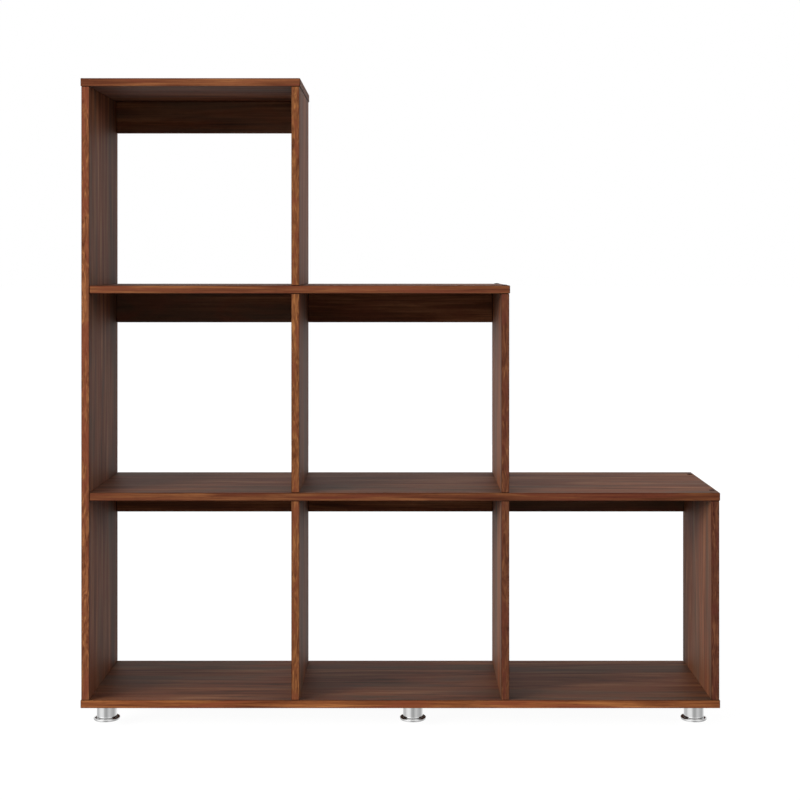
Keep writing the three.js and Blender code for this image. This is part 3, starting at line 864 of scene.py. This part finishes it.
def studio_floor(settings):
    """A pale floor that throws light up. The camera sees it as white paper with the unit's soft shadow
    on it. It lies below the feet's lowest reach, so that it clears them at every pose."""
    reach = max(joint["range_m"][1] for joint in frame["joints"])
    bm = bmesh.new()
    bmesh.ops.create_grid(bm, x_segments=1, y_segments=1, size=FLOOR_SIZE)
    bmesh.ops.translate(bm, verts=bm.verts, vec=(0, 0, CAD_BOX[0][2] - reach - FLOOR_GAP))
    mesh = bpy.data.meshes.new("studio_floor")
    bm.to_mesh(mesh)
    bm.free()
    material, tree, shader = new_material("white paper floor")
    rays = add_node(tree, "ShaderNodeLightPath")
    coordinates = add_node(tree, "ShaderNodeTexCoord")
    fibres = add_node(tree, "ShaderNodeTexNoise", {
        "Vector": coordinates.outputs["Object"], "Scale": 1 / PAPER_FIBRE, "Detail": 2})
    paper = add_node(tree, "ShaderNodeMix", {
        FACTOR: fibres.outputs["Fac"],
        COLOUR_A: (*settings.floor, 1),
        COLOUR_B: (*settings.floor_light, 1)}, data_type="RGBA")
    tree.links.new(paper.outputs[MIXED], shader.inputs["Base Color"])
    shader.inputs["Roughness"].default_value = 0.9
    white = add_node(tree, "ShaderNodeEmission", {"Color": (1, 1, 1, 1), "Strength": FLOOR_WHITE})
    seen = add_node(tree, "ShaderNodeMath", {
        0: rays.outputs["Is Camera Ray"], 1: FLOOR_WHITE_SHARE}, operation="MULTIPLY")
    mixed = add_node(tree, "ShaderNodeMixShader", {
        0: seen.outputs["Value"], 1: shader.outputs["BSDF"], 2: white.outputs["Emission"]})
    tree.links.new(mixed.outputs["Shader"], tree.nodes["Material Output"].inputs["Surface"])
    mesh.materials.append(material)
    floor = bpy.data.objects.new("studio_floor", mesh)
    floor.visible_glossy = False
    bpy.context.scene.collection.objects.link(floor)


class BOOKSHELF_OT_set_stage(bpy.types.Operator):
    """Sets the camera, the lamps, the white background and the floor"""
    bl_idname = "bookshelf.set_stage"
    bl_label = "Set Stage"

    def execute(self, context):
        scene = context.scene
        settings = scene.bookshelf_stage
        scene.view_settings.view_transform = "Standard"
        camera_data = bpy.data.cameras.new("camera")
        camera_data.lens = settings.lens
        camera_data.shift_x = settings.shift_x
        camera_data.shift_y = settings.shift_y
        camera = bpy.data.objects.new("camera", camera_data)
        camera.location = (0, -settings.distance, settings.height)
        camera.rotation_euler = (QUARTER_TURN, 0, 0)
        scene.collection.objects.link(camera)
        scene.camera = camera
        soft_box("key lamp", settings.key, azimuth=-55, elevation=15, distance=9, width=4.5, height=3)
        soft_box("fill lamp", settings.fill, azimuth=62, elevation=15, distance=9, width=4, height=3)
        soft_box("rear lamp", settings.rear, azimuth=180, elevation=5, distance=4.5, width=3, height=3)
        studio_world(settings)
        studio_floor(settings)
        return {"FINISHED"}


OPERATORS = (
    BOOKSHELF_OT_finish_boards, BOOKSHELF_OT_make_caps, BOOKSHELF_OT_make_screws, BOOKSHELF_OT_make_sleeves,
    BOOKSHELF_OT_make_bases, BOOKSHELF_OT_make_inserts, BOOKSHELF_OT_set_stage,
)
SETTINGS = {
    "bookshelf_walnut": WalnutSettings,
    "bookshelf_feet": FootSettings,
    "bookshelf_fasteners": FastenerSettings,
    "bookshelf_stage": StageSettings,
}


class BOOKSHELF_PT_sidebar(bpy.types.Panel):
    """Lists the bookshelf's settings and steps"""
    bl_idname = "BOOKSHELF_PT_sidebar"
    bl_label = "Staircase Bookshelf"
    bl_space_type = "VIEW_3D"
    bl_region_type = "UI"
    bl_category = "Bookshelf"

    def draw(self, context):
        for attribute, group in SETTINGS.items():
            box = self.layout.box()
            for name in group.__annotations__:
                box.prop(getattr(context.scene, attribute), name)
        for operator in OPERATORS:
            self.layout.operator(operator.bl_idname)


def register():
    """Adds the settings, the steps and the sidebar."""
    for group in SETTINGS.values():
        bpy.utils.register_class(group)
    for attribute, group in SETTINGS.items():
        setattr(bpy.types.Scene, attribute, PointerProperty(type=group))
    for item in (*OPERATORS, BOOKSHELF_PT_sidebar):
        bpy.utils.register_class(item)


def unregister():
    """Takes away what register added."""
    for item in (BOOKSHELF_PT_sidebar, *reversed(OPERATORS)):
        bpy.utils.unregister_class(item)
    for attribute in SETTINGS:
        delattr(bpy.types.Scene, attribute)
    for group in SETTINGS.values():
        bpy.utils.unregister_class(group)


def main():
    """Runs every step in order."""
    register()
    for operator in OPERATORS:
        namespace, step = operator.bl_idname.split(".")
        getattr(getattr(bpy.ops, namespace), step)()
    bpy.context.view_layer.update()


if __name__ == "__main__":
    main()
